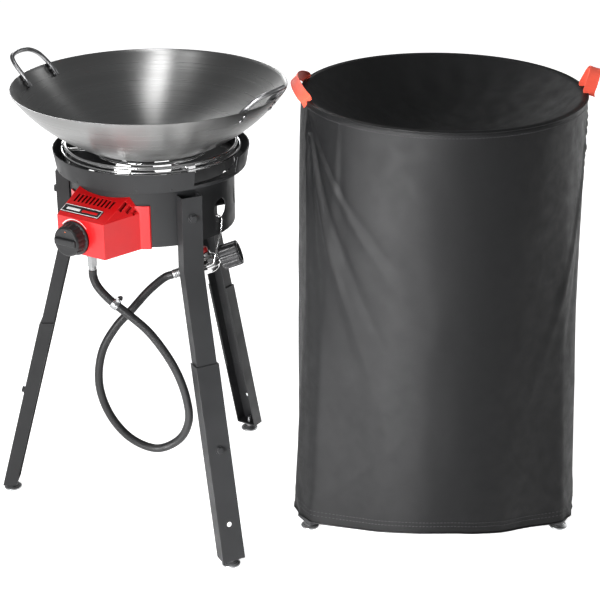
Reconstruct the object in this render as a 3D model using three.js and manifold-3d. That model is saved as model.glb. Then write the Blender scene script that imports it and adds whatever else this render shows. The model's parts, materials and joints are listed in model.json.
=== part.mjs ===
// Outdoor wok and fryer burner kit: an open cooker on a three-leg stand, and a second one under its fabric cover.
// Millimetres, +Z up. The origin is on the floor, at the centre of the kit's outline.
import * as THREE from "three";
import { ConvexGeometry } from "three/addons/geometries/ConvexGeometry.js";
import { mergeVertices } from "three/addons/utils/BufferGeometryUtils.js";
import Module from "manifold-3d";

const wasm = await Module();
wasm.setup();

// ---- driving dimensions ----

const GAP = 0.3; // left between pieces that touch

const cookerX = -222; // axis of the open cooker
const coveredX = 262; // axis of the covered cooker
const openLegAngles = { left: 178, front: -62, back: 58 };
const coveredLegAngles = { left: -150, right: -30, back: 90 };
const coveredDrop = 14; // the covered cooker stands this much lower

const rimRadius = 228.6; // an 18 inch wok
const rimHeight = 766;
const bowlRadius = 277.7; // sphere that the wok's outside follows
const bowlCentre = 923.7; // height of that sphere's centre
const wokBase = 652; // underside of the wok's small flat
const wokWall = 2;

const drumRadius = 138;
const drumWall = 1.6;
const drumBottom = 532;
const drumTop = 633.4;
const windowRadius = 16.5;
const windowHeight = 577;

const collarBottom = 632;
const collarTop = 664;
const collarFoot = 158.5; // outer radius at the bottom of the collar's wall
const collarLip = 164; // outer radius at its top
const notchHeight = 638;

const potRadius = 142;
const potHeight = 668;
const potWire = 2.8;
const innerRingRadius = 95;

const legFace = 161; // distance of a leg's outer face from the axis, above the kink
const legTop = 620;
const legKink = 495;
const legWidth = 36;
const legDepth = 22;
const legWall = 2;
const upperLegEnd = 152;
const sleeveTop = 340;
const sleeveBottom = 14;
const sleeveGap = 0.5;
const openFootRadius = 280;
const coveredFootRadius = 252;
const footRadius = 16;
const drumBoltHeight = 584;
const legBoltHeight = 200;
const spareHoleHeight = 75;

const boxAngle = -122; // the control box faces this way
const boxFront = 193;
const boxBottom = 530;
const boxFrontTop = 590;
const boxRidge = 623;
const boxWall = 2.5;
const knobSide = -12;
const knobHeight = 557;
const knobRadius = 27;

const hoseRadius = 7;
const regulatorPlace = [94, -82, 483];
const regulatorTilt = 20; // the tank nut points up by this many degrees

const coverRim = 234;
const coverTop = 757;
const coverWall = 2.5;
const coverHem = 55; // height of the hem between the feet
const hemDrop = 26; // how much lower it hangs over a foot
const hemSpread = 31; // and how much further out
const coverDip = 90; // how far the top sinks into the wok

// ---- materials ----

function finish(color, roughness, metalness) {
  return new THREE.MeshStandardMaterial({ color, roughness, metalness });
}

const blackPaint = finish(0x303234, 0.5, 0.3);
const castIron = finish(0x232323, 0.85, 0.4);
const wokSteel = finish(0x8c8c8c, 0.35, 1);
const chrome = finish(0xdadada, 0.15, 1);
const zincPlate = finish(0xb5b7b8, 0.4, 1);
const redPaint = finish(0xe4151b, 0.35, 0);
const blackPlastic = finish(0x1a1a1b, 0.5, 0);
const ceramic = finish(0xe6e2d8, 0.5, 0);
const brass = finish(0xb9964c, 0.35, 1);
const hoseRubber = finish(0x1e1f20, 0.7, 0);
const coverCloth = finish(0x2b2c2e, 0.55, 0);
const orangeWebbing = finish(0xff5a32, 0.8, 0);

// ---- solids ----

function radians(degrees) {
  return THREE.MathUtils.degToRad(degrees);
}

// A closed geometry as a manifold solid, without the slivers that a lathe leaves on its axis.
function solid(geometry) {
  const bare = geometry.clone();
  bare.deleteAttribute("normal");
  bare.deleteAttribute("uv");
  const merged = mergeVertices(bare, 1e-4);
  const corners = merged.index.array;
  const kept = [];
  for (let i = 0; i < corners.length; i += 3) {
    const [a, b, c] = corners.slice(i, i + 3);
    if (a !== b && b !== c && c !== a) kept.push(a, b, c);
  }
  const vertProperties = new Float32Array(merged.attributes.position.array);
  return new wasm.Manifold(new wasm.Mesh({ numProp: 3, vertProperties, triVerts: new Uint32Array(kept) }));
}

function geometryOf(manifold) {
  const mesh = manifold.getMesh();
  const geometry = new THREE.BufferGeometry();
  geometry.setAttribute("position", new THREE.BufferAttribute(mesh.vertProperties, 3));
  geometry.setIndex(new THREE.BufferAttribute(mesh.triVerts, 1));
  geometry.computeVertexNormals();
  return geometry;
}

function fuse(...pieces) {
  return geometryOf(pieces.map(solid).reduce((whole, piece) => whole.add(piece)));
}

function carve(base, ...tools) {
  return geometryOf(tools.map(solid).reduce((whole, tool) => whole.subtract(tool), solid(base)));
}

function overlap(first, second) {
  return geometryOf(solid(first).intersect(solid(second)));
}

// A block between two corners.
function block(x0, x1, y0, y1, z0, z1) {
  const geometry = new THREE.BoxGeometry(x1 - x0, y1 - y0, z1 - z0);
  return geometry.translate((x0 + x1) / 2, (y0 + y1) / 2, (z0 + z1) / 2);
}

// An upright round bar.
function bar(radius, z0, z1, sides = 16) {
  const geometry = new THREE.CylinderGeometry(radius, radius, z1 - z0, sides);
  return geometry.rotateX(Math.PI / 2).translate(0, 0, (z0 + z1) / 2);
}

// A round bar along X.
function barX(radius, x0, x1, sides = 16) {
  return bar(radius, x0, x1, sides).rotateY(Math.PI / 2);
}

// A profile of [radius, height] points turned about Z.
function turned(profile, segments) {
  const points = profile.map(([radius, height]) => new THREE.Vector2(radius, height));
  return new THREE.LatheGeometry(points, segments).rotateX(Math.PI / 2);
}

// The same for a profile that doesn't reach the axis, closed on itself.
function turnedRing(profile, segments) {
  return turned([...profile, profile[0]], segments);
}

function hoop(radius, wire, height, segments) {
  return new THREE.TorusGeometry(radius, wire, 5, segments).translate(0, 0, height);
}

function smoothPath(points) {
  return new THREE.CatmullRomCurve3(points.map((point) => new THREE.Vector3(...point)), false, "centripetal");
}

// A round wire or hose along a path.
function wireAlong(path, radius, steps, sides = 8) {
  const section = new THREE.Shape();
  for (let i = 0; i < sides; i += 1) {
    const angle = (2 * Math.PI * i) / sides;
    const corner = [radius * Math.cos(angle), radius * Math.sin(angle)];
    if (i === 0) section.moveTo(...corner);
    else section.lineTo(...corner);
  }
  return new THREE.ExtrudeGeometry(section, { steps, extrudePath: path, bevelEnabled: false });
}

// A flat outline in the plane of X and Z, as wide as asked along Y and centred on it.
function slab(outline, width) {
  const shape = new THREE.Shape(outline.map(([x, z]) => new THREE.Vector2(x, z)));
  const geometry = new THREE.ExtrudeGeometry(shape, { depth: width, bevelEnabled: false });
  return geometry.rotateX(Math.PI / 2).translate(0, width / 2, 0);
}

function hexBolt(headAt, shankEnd, headRadius = 6.5) {
  return fuse(
    barX(3, shankEnd, headAt + 1, 8),
    barX(headRadius + 2, headAt, headAt + 1.4, 12),
    barX(headRadius, headAt + 1, headAt + 6, 6),
  );
}

function add(group, name, geometry, material) {
  const mesh = new THREE.Mesh(geometry, material);
  mesh.name = name;
  group.add(mesh);
  return mesh;
}

function groupAt(parent, x, y, z, turnDegrees = 0) {
  const group = new THREE.Group();
  group.position.set(x, y, z);
  group.rotation.z = radians(turnDegrees);
  parent.add(group);
  return group;
}

// ---- stand ----

// The line of a leg's outer face, as a radius at each height: upright, then splayed below the kink.
function legLine(kink, footCentre) {
  const splay = (footCentre + legDepth / 2 - legFace) / (kink - sleeveBottom);
  const line = (z) => legFace + Math.max(0, kink - z) * splay;
  line.angle = Math.atan(splay);
  return line;
}

// A U-shaped channel that opens towards the axis, between two heights; a floor closes its lower end.
function channel(line, heights, outset, width, depth, floor = -1) {
  const strip = (levels, near, far) => [
    ...levels.map((z) => [line(z) + outset - near, z]),
    ...levels.map((z) => [line(z) + outset - far, z]).reverse(),
  ];
  const hollow = [...heights];
  hollow[0] += 1;
  hollow[hollow.length - 1] += floor;
  return carve(
    slab(strip(heights, 0, depth), width),
    slab(strip(hollow, legWall, depth + 1), width - 2 * legWall),
  );
}

// A hole square through the face of a leg's splayed part.
function faceHole(line, height, radius) {
  return barX(radius, -8, 8, 12).rotateY(-line.angle).translate(line(height), 0, height);
}

function upperLeg(line, drop) {
  const body = channel(line, [legTop - drop, legKink - drop, upperLegEnd - drop], 0, legWidth, legDepth);
  return carve(body, barX(3.5, legFace - 6, legFace + 3, 12).translate(0, 0, drumBoltHeight - drop));
}

function lowerLeg(line, drop) {
  const outset = sleeveGap + legWall;
  const width = legWidth + 2 * outset;
  const body = channel(line, [sleeveTop - drop, sleeveBottom], outset, width, legDepth + outset, 3);
  const studHole = bar(4.6, sleeveBottom - 2, sleeveBottom + 6, 12);
  studHole.translate(line(sleeveBottom) - legDepth / 2, 0, 0);
  return carve(body, faceHole(line, legBoltHeight, 3.4), faceHole(line, spareHoleHeight, 4.5), studHole);
}

function levellingFoot() {
  const profile = [
    [0, 0],
    [footRadius, 0],
    [footRadius, 4],
    [7, 8.8],
    [7, sleeveBottom - GAP],
    [4, sleeveBottom - GAP],
    [4, 26],
    [0, 26],
  ];
  return turned(profile, 12);
}

function addLegs(cooker, prefix, angles, footCentre, drop, withBolts) {
  const line = legLine(legKink - drop, footCentre);
  for (const [side, angle] of Object.entries(angles)) {
    const leg = groupAt(cooker, 0, 0, 0, angle);
    add(leg, `${prefix}upper_leg_${side}`, upperLeg(line, drop), blackPaint);
    add(leg, `${prefix}lower_leg_${side}`, lowerLeg(line, drop), blackPaint);
    const foot = add(leg, `${prefix}foot_${side}`, levellingFoot(), zincPlate);
    foot.position.x = line(sleeveBottom) - legDepth / 2;
    if (!withBolts) continue;
    const drumBolt = fuse(
      hexBolt(legFace + GAP, drumRadius - 10),
      barX(5.5, drumRadius - 8, drumRadius - drumWall - 1, 6),
    );
    add(leg, `drum_bolt_${side}`, drumBolt, blackPaint).position.z = drumBoltHeight;
    const legBolt = add(leg, `leg_bolt_${side}`, hexBolt(sleeveGap + legWall + GAP, GAP, 5.5), blackPaint);
    legBolt.position.set(line(legBoltHeight), 0, legBoltHeight);
    legBolt.rotation.y = -line.angle;
  }
}

// ---- burner ----

function drumShell() {
  return turnedRing(
    [
      [drumRadius - drumWall, drumBottom],
      [drumRadius, drumBottom],
      [drumRadius, drumTop],
      [drumRadius - drumWall, drumTop],
    ],
    48,
  );
}

// The drum has a hole for each leg's bolt and one for the gas pipe, and three windows between each two legs,
// except behind the control box.
function burnerDrum() {
  const cutter = (radius, angle, y, z, sides) =>
    barX(radius, drumRadius - 14, drumRadius + 12, sides).translate(0, y, z).rotateZ(radians(angle));
  const holes = [cutter(9, boxAngle, knobSide, knobHeight, 12)];
  for (const [side, angle] of Object.entries(openLegAngles)) {
    holes.push(cutter(3.5, angle, 0, drumBoltHeight, 8));
    if (side === "left") continue;
    for (const step of [30, 60, 90]) holes.push(cutter(windowRadius, angle + step, 0, windowHeight, 16));
  }
  return carve(drumShell(), ...holes);
}

// A flared ring around the top of the drum, cut away over one stretch of its wall.
function windCollar() {
  const wall = 1.6;
  const ring = turnedRing(
    [
      [drumRadius + GAP, collarBottom],
      [collarFoot, collarBottom],
      [collarLip, collarTop],
      [collarLip - wall, collarTop],
      [collarFoot - wall, collarBottom + wall],
      [drumRadius + GAP, collarBottom + wall],
    ],
    48,
  );
  const notch = new THREE.Shape();
  notch.absarc(0, 0, collarLip + 10, radians(-60), radians(-26), false);
  notch.absarc(0, 0, drumRadius + 4, radians(-26), radians(-60), true);
  const height = collarTop - notchHeight + 2;
  const tool = new THREE.ExtrudeGeometry(notch, { depth: height, bevelEnabled: false, curveSegments: 10 });
  return carve(ring, tool.translate(0, 0, notchHeight));
}

// A round cast head with a crown of twelve jets and a boss where it is bolted down.
function burnerHead() {
  const jets = Array.from({ length: 12 }, (unused, i) =>
    bar(4.5, 572, 590, 6).translate(44, 0, 0).rotateZ(radians(30 * i + 15)),
  );
  const head = turned(
    [
      [0, 542],
      [16, 542],
      [20, 548],
      [54, 550],
      [60, 556],
      [60, 568],
      [52, 577],
      [30, 579],
      [22, 586],
      [0, 586],
    ],
    24,
  );
  return fuse(head, ...jets);
}

function potRing(segments) {
  const inner = innerRingRadius;
  const innerHeight = bowlCentre - Math.sqrt((bowlRadius + potWire + GAP) ** 2 - inner ** 2);
  const pieces = [
    hoop(potRadius, potWire, potHeight, segments),
    hoop(potRadius + 6, 2.2, potHeight - 6.5, segments),
    hoop(inner, potWire, innerHeight, (segments * 2) / 3),
  ];
  for (const angle of [-60, 60, 180]) {
    const spoke = barX(potWire, inner - 4, potRadius + 6, 8).translate(0, 0, innerHeight - 5);
    const post = bar(potWire, drumTop + 0.9, potHeight, 8).translate(potRadius + 3.5, 0, 0);
    const tab = block(potRadius + 1, potRadius + 7, -9, 9, potHeight - 14, potHeight + 1);
    pieces.push(...[spoke, post, tab].map((piece) => piece.rotateZ(radians(angle))));
  }
  return fuse(...pieces);
}

// ---- control box, valve and knob; +X is the way the box faces ----

function boxHull(inset, back) {
  const corners = [];
  for (const side of [-1, 1]) {
    corners.push(
      [boxFront - inset, side * (47 - inset), boxBottom + inset],
      [boxFront - inset, side * (47 - inset), boxFrontTop - inset],
      [back, side * (70 - inset), boxBottom + inset],
      [back, side * (70 - inset), boxFrontTop + 2 - inset],
      [back + 6, side * (52 - inset), boxRidge - inset],
    );
  }
  return new ConvexGeometry(corners.map((corner) => new THREE.Vector3(...corner)));
}

// A slot cut down through the sloping top.
function ventSlot(x, y, z, length) {
  return block(-length / 2, length / 2, -1.9, 1.9, -6, 7).rotateY(0.45).translate(x, y, z);
}

function controlBox() {
  const drum = bar(drumRadius + GAP, boxBottom - 5, collarBottom + 5, 60);
  const flangePlate = overlap(
    bar(drumRadius + GAP + 3, boxBottom, 604, 60),
    block(60, drumRadius + 10, -80, 80, boxBottom - 1, 605),
  );
  const shell = fuse(boxHull(0, 112), flangePlate);
  const slots = [];
  for (let i = 0; i < 10; i += 1) slots.push(ventSlot(152, -38 + 7.9 * i, 609, 18));
  [20, 15, 10].forEach((length, i) => slots.push(ventSlot(147 - 7 * i, 51 + 5.5 * i, 608 - 5 * i, length)));
  const stemHole = barX(6, boxFront - 8, boxFront + 4, 16).translate(0, knobSide, knobHeight);
  const fittingHole = bar(9.5, boxBottom - 4, boxBottom + 6, 16).translate(166, -2, 0);
  return carve(shell, boxHull(boxWall, 90), drum, stemHole, fittingHole, ...slots);
}

function badge() {
  const plate = block(-8.5, 8.5, -38, 38, 0, 1.4);
  return plate.rotateY(Math.atan2(boxRidge - boxFrontTop, boxFront - 118));
}

// The valve body takes the hose fitting below, the gas pipe behind and the stem in front.
function gasValve() {
  return fuse(
    block(151, 181, knobSide - 13, knobSide + 20, knobHeight - 12, knobHeight + 12),
    barX(9, 180, 186, 6).translate(0, knobSide, knobHeight),
    barX(4, 185, 205, 12).translate(0, knobSide, knobHeight),
  );
}

function knob() {
  const profile = [
    [0, 0],
    [knobRadius + 1.5, 0],
    [knobRadius + 1.5, 3],
    [knobRadius, 5],
    [knobRadius - 1.5, 20],
    [knobRadius - 5, 24],
    [0, 24],
  ];
  const grip = block(-6, 6, -knobRadius + 6, knobRadius - 6, 22, 27);
  return carve(fuse(turned(profile, 28), grip), bar(4.8, -1, 13, 12));
}

// ---- hose and regulator ----

// Down from the fitting, round in a loop that crosses itself, and up to the regulator.
const hosePath = smoothPath([
  [-89.7, -139.7, 494],
  [-89.7, -139.7, 484],
  [-84, -143, 468],
  [-65, -150, 447],
  [-29, -158, 419],
  [2, -161, 389],
  [40, -161, 326],
  [58, -160, 268],
  [60, -157, 224],
  [43, -151, 187],
  [5, -145, 166],
  [-37, -140, 180],
  [-73, -135, 222],
  [-91, -129, 279],
  [-84, -122, 338],
  [-60, -114, 380],
  [-34, -106, 407],
  [-4, -94, 438],
  [23.7, -82, 457.4],
  [35, -82, 461.5],
]);

function hoseClamp() {
  const band = turnedRing(
    [
      [hoseRadius + 0.5, -6],
      [hoseRadius + 2, -6],
      [hoseRadius + 2, 6],
      [hoseRadius + 0.5, 6],
    ],
    20,
  );
  return fuse(band, block(-4, 4, hoseRadius + 1, hoseRadius + 7, -4, 4));
}

function ferrule() {
  return turned(
    [
      [0, 0],
      [7, 0],
      [8, 2],
      [8, 15],
      [6.5, 17],
      [6.5, 19.7],
      [0, 19.7],
    ],
    16,
  ).rotateY(Math.PI / 2);
}

// A round diaphragm housing with a boss on top, an outlet towards the hose and an inlet towards the tank nut.
function regulatorBody() {
  const housing = turned(
    [
      [0, -15],
      [14, -15],
      [22, -9],
      [23, 0],
      [22, 8],
      [14, 13],
      [11, 20],
      [0, 20],
    ],
    24,
  );
  return fuse(housing, barX(7, -42, -15, 6), barX(8, 15, 23.4, 12), barX(5, 22, 55, 12));
}

function tankNut() {
  const ribs = Array.from({ length: 10 }, (unused, i) =>
    block(2, 32, -2.6, 2.6, 18, 21.5).rotateX(radians(36 * i)),
  );
  const blank = fuse(barX(19.5, 0, 34, 20), ...ribs);
  return carve(blank, barX(5.6, -1, 35, 12), barX(15, 12, 35, 16));
}

// A wire that hangs from a window of the drum and comes down in front of the regulator.
function regulatorHook() {
  const path = smoothPath([
    [129, 0, 557],
    [131, 0, 562.5],
    [136, 0, 563.8],
    [141, 0, 561],
    [142, -1, 550],
    [143, -9, 530],
    [146, -24, 508],
    [144.7, -30, 489],
  ]);
  return wireAlong(path, 1.3, 18, 6);
}

// ---- wok ----

function wokBowl(segments, steps) {
  const arc = (radius, base) => {
    const first = Math.acos((bowlCentre - base) / radius);
    const last = Math.acos((bowlCentre - rimHeight) / radius);
    return Array.from({ length: steps + 1 }, (unused, i) => {
      const angle = first + ((last - first) * i) / steps;
      return [radius * Math.sin(angle), bowlCentre - radius * Math.cos(angle)];
    });
  };
  const outside = arc(bowlRadius, wokBase);
  const inside = arc(bowlRadius - wokWall, wokBase + wokWall);
  return turned([[0, wokBase], ...outside, ...inside.reverse(), [0, wokBase + wokWall]], segments);
}

// A bail of round rod that stands up outside the rim, riveted to the wall inside; +X is outwards.
function wokHandle() {
  const onWall = (height, y, offset) => {
    const radius = bowlRadius - wokWall - offset;
    const reach = Math.sqrt(radius ** 2 - (bowlCentre - height) ** 2 - y ** 2);
    return [reach, y, height];
  };
  const half = [onWall(749, -41, 6.2), onWall(760, -41, 6.2), [222, -40, 772], [236, -37, 785], [247, -29, 792]];
  const mirrored = half.map(([x, y, z]) => [x, -y, z]).reverse();
  const pieces = [wireAlong(smoothPath([...half, [251, 0, 794], ...mirrored]), 3.8, 20, 6)];
  for (const side of [-41, 41]) {
    for (const height of [751, 760.5]) {
      const [x, y, z] = onWall(height, side, 1.3);
      const rivet = bar(4.2, 0, 3.4, 8);
      const lean = Math.asin(Math.hypot(x, y) / bowlRadius);
      rivet.rotateY(-lean).rotateZ(Math.atan2(y, x));
      pieces.push(rivet.translate(x, y, z));
    }
  }
  return fuse(...pieces);
}

// ---- fabric cover ----

// Round at the rim; lower down it spreads over the three legs, and its hem rises between them.
function coverShell() {
  const side = [1, 0.8, 0.55, 0.3, 0.08].map((drop) => [coverRim + 5 * Math.sqrt(drop), drop]);
  const heightAt = (drop) => coverTop - drop * (coverTop - coverHem);
  const dish = [0, 0.35, 0.65, 0.88, 1].map((t) => [(coverRim - 8) * t, coverTop - coverDip * (1 - t * t)]);
  const profile = [
    ...dish.map(([radius, height]) => [radius, height - coverWall]),
    [coverRim - coverWall, coverTop - coverWall],
    ...side.map(([radius, drop]) => [radius - coverWall, heightAt(drop)]).reverse(),
    ...side.map(([radius, drop]) => [radius, heightAt(drop)]),
    [coverRim, coverTop],
    ...dish.reverse(),
  ];
  const shell = turned(profile, 48);
  const points = shell.attributes.position;
  for (let i = 0; i < points.count; i += 1) {
    const [x, y, z] = [points.getX(i), points.getY(i), points.getZ(i)];
    const radius = Math.hypot(x, y);
    const drop = (coverTop - z) / (coverTop - coverHem);
    if (radius < coverRim - 2 * coverWall || drop <= 0) continue;
    const overLeg = (1 + Math.cos(3 * (Math.atan2(y, x) - Math.PI / 2))) / 2;
    const lobe = Math.min(1, 1.25 * overLeg ** 8);
    const spread = (radius + hemSpread * lobe * drop ** 1.5) / radius;
    points.setXYZ(i, x * spread, y * spread, z - hemDrop * overLeg * drop ** 3);
  }
  return shell;
}

// A webbing loop that stands out from the rim like a bail; +X is outwards, and the width is its reach along the rim.
function coverLoop(halfWidth, reach, rise) {
  const thickness = 2.5;
  const outline = (grow) => {
    const bend = new THREE.CatmullRomCurve3(
      [
        [0, -halfWidth - grow],
        [0.35 * reach, -0.86 * halfWidth - grow],
        [0.85 * reach + grow, -0.4 * halfWidth],
        [reach + grow, 0],
        [0.85 * reach + grow, 0.4 * halfWidth],
        [0.35 * reach, 0.86 * halfWidth + grow],
        [0, halfWidth + grow],
      ].map(([x, y]) => new THREE.Vector3(x, y, 0)),
    );
    return bend.getPoints(16).map((point) => new THREE.Vector2(point.x, point.y));
  };
  const shape = new THREE.Shape([...outline(thickness), ...outline(0).reverse()]);
  const strap = new THREE.ExtrudeGeometry(shape, { depth: 22, bevelEnabled: false });
  return strap.translate(0, 0, -11).rotateY(-radians(rise));
}

// ---- assembly ----

const kit = new THREE.Group();

const open = groupAt(kit, cookerX, 0, 0);
addLegs(open, "", openLegAngles, openFootRadius, 0, true);
add(open, "burner_drum", burnerDrum(), blackPaint);
add(open, "wind_collar", windCollar(), blackPaint);
add(open, "burner_head", burnerHead(), castIron);
add(open, "burner_strap", block(-134, 134, -14, 14, 538.6, 541.6), blackPaint).rotation.z = radians(28);
add(open, "pot_ring", potRing(42), chrome);

const box = groupAt(open, 0, 0, 0, boxAngle);
add(box, "control_box", controlBox(), redPaint);
add(box, "box_badge", badge(), blackPlastic).position.set(177, -8, 597.6);
add(box, "gas_pipe", barX(6, 61.5, 150.5, 14).translate(0, knobSide, knobHeight), brass);
add(box, "gas_valve", gasValve(), brass);
const dial = add(box, "control_knob", knob(), blackPlastic);
dial.position.set(boxFront + 1, knobSide, knobHeight);
dial.rotation.y = Math.PI / 2;
add(box, "igniter_electrode", fuse(bar(3.5, 548, 588, 10), bar(1.2, 586, 600, 6)), ceramic).position.x = 70;
const fitting = fuse(bar(8, 501, 544, 6), bar(6.5, 494.5, 502, 14), bar(9, 518, 526, 6));
add(box, "hose_fitting", fitting, zincPlate).position.set(166, -2, 0);

add(open, "gas_hose", wireAlong(hosePath, hoseRadius, 40), hoseRubber);
const clamp = add(open, "hose_clamp", hoseClamp(), zincPlate);
const clampShare = 0.084; // how far along the hose the clamp sits
clamp.position.copy(hosePath.getPointAt(clampShare));
clamp.quaternion.setFromUnitVectors(new THREE.Vector3(0, 0, 1), hosePath.getTangentAt(clampShare));

const regulator = groupAt(open, ...regulatorPlace);
regulator.rotation.y = -radians(regulatorTilt);
add(regulator, "hose_ferrule", ferrule(), zincPlate).position.x = -62;
add(regulator, "regulator_body", regulatorBody(), chrome);
add(regulator, "regulator_cap", bar(9, 20.3, 29, 16), redPaint);
add(regulator, "tank_nut", tankNut(), blackPlastic).position.x = 24;
add(groupAt(open, 0, 0, 0, -33), "regulator_hook", regulatorHook(), chrome);

add(open, "wok", wokBowl(42, 6), wokSteel);
add(groupAt(open, 0, 0, 0, 156), "wok_handle_left", wokHandle(), wokSteel);
add(groupAt(open, 0, 0, 0, -32), "wok_handle_right", wokHandle(), wokSteel);

const covered = groupAt(kit, coveredX, 0, 0);
addLegs(covered, "covered_", coveredLegAngles, coveredFootRadius, coveredDrop, false);
const coveredTop = groupAt(covered, 0, 0, -coveredDrop, 32);
add(coveredTop, "covered_drum", drumShell(), blackPaint);
add(coveredTop, "covered_pot_ring", potRing(24), chrome);
add(coveredTop, "covered_wok", wokBowl(28, 4), wokSteel);
add(covered, "cover", coverShell(), coverCloth);
const loopAt = (x, turn) => groupAt(covered, x, 0, coverTop + 1, turn);
add(loopAt(-(coverRim - 9), 180), "cover_loop_left", coverLoop(66, 25, 40), orangeWebbing);
add(loopAt(coverRim + 1, 0), "cover_loop_right", coverLoop(20, 36, 72), orangeWebbing);

export default kit;
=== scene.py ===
"""An outdoor wok and fryer burner kit: the open cooker on its stand, and a second one under its
fabric cover."""

import json
from math import acos, atan2, copysign, cos, degrees, exp, pi, radians, remainder, sin, sqrt

import bmesh
import bpy
import numpy as np
from mathutils import Matrix, Vector, noise


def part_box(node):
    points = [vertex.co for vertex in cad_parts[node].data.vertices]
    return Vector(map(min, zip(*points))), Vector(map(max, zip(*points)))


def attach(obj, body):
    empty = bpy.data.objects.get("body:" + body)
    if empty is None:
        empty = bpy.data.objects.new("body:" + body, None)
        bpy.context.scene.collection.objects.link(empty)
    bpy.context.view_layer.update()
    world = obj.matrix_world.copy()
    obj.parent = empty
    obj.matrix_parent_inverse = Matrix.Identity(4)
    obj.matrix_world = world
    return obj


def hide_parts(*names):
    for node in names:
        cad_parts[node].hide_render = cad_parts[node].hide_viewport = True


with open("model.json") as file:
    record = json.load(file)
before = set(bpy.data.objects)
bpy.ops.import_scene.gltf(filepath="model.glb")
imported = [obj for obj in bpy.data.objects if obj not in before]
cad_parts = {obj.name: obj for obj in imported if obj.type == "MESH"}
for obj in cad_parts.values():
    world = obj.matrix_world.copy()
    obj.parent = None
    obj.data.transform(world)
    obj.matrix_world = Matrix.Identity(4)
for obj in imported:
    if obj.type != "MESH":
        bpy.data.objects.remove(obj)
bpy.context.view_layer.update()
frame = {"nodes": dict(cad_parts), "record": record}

TURN = 2 * pi


def middle(node):
    low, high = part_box(node)
    return (low + high) / 2


OPEN_AXIS = Vector((*middle("burner_drum").xy, 0))
COVERED_AXIS = Vector((*middle("covered_drum").xy, 0))
OPEN_PLACE = Matrix.Translation(OPEN_AXIS)
COVERED_PLACE = Matrix.Translation(COVERED_AXIS)
BOX_ANGLE = radians(-122)  # the control box faces this way


# ---- camera, fitted to the photo ----

SENSOR_MM, LENS_MM = 36, 94.87
CAMERA_OFFSET = (0.248, -2.5207, 1.4799)  # from the foot of the open cooker's axis
CAMERA_PITCH = radians(66.41)


def add_camera():
    data = bpy.data.cameras.new("camera")
    data.sensor_width = SENSOR_MM
    data.lens = LENS_MM
    data.clip_end = 50
    camera = bpy.data.objects.new("camera", data)
    camera.location = (OPEN_AXIS.x + CAMERA_OFFSET[0], *CAMERA_OFFSET[1:])
    camera.rotation_euler = (CAMERA_PITCH, 0, 0)
    bpy.context.scene.collection.objects.link(camera)
    bpy.context.scene.camera = camera


# ---- materials ----

MIX_A, MIX_B, MIX_RESULT = 6, 7, 2  # the colour sockets of a Mix node


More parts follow.
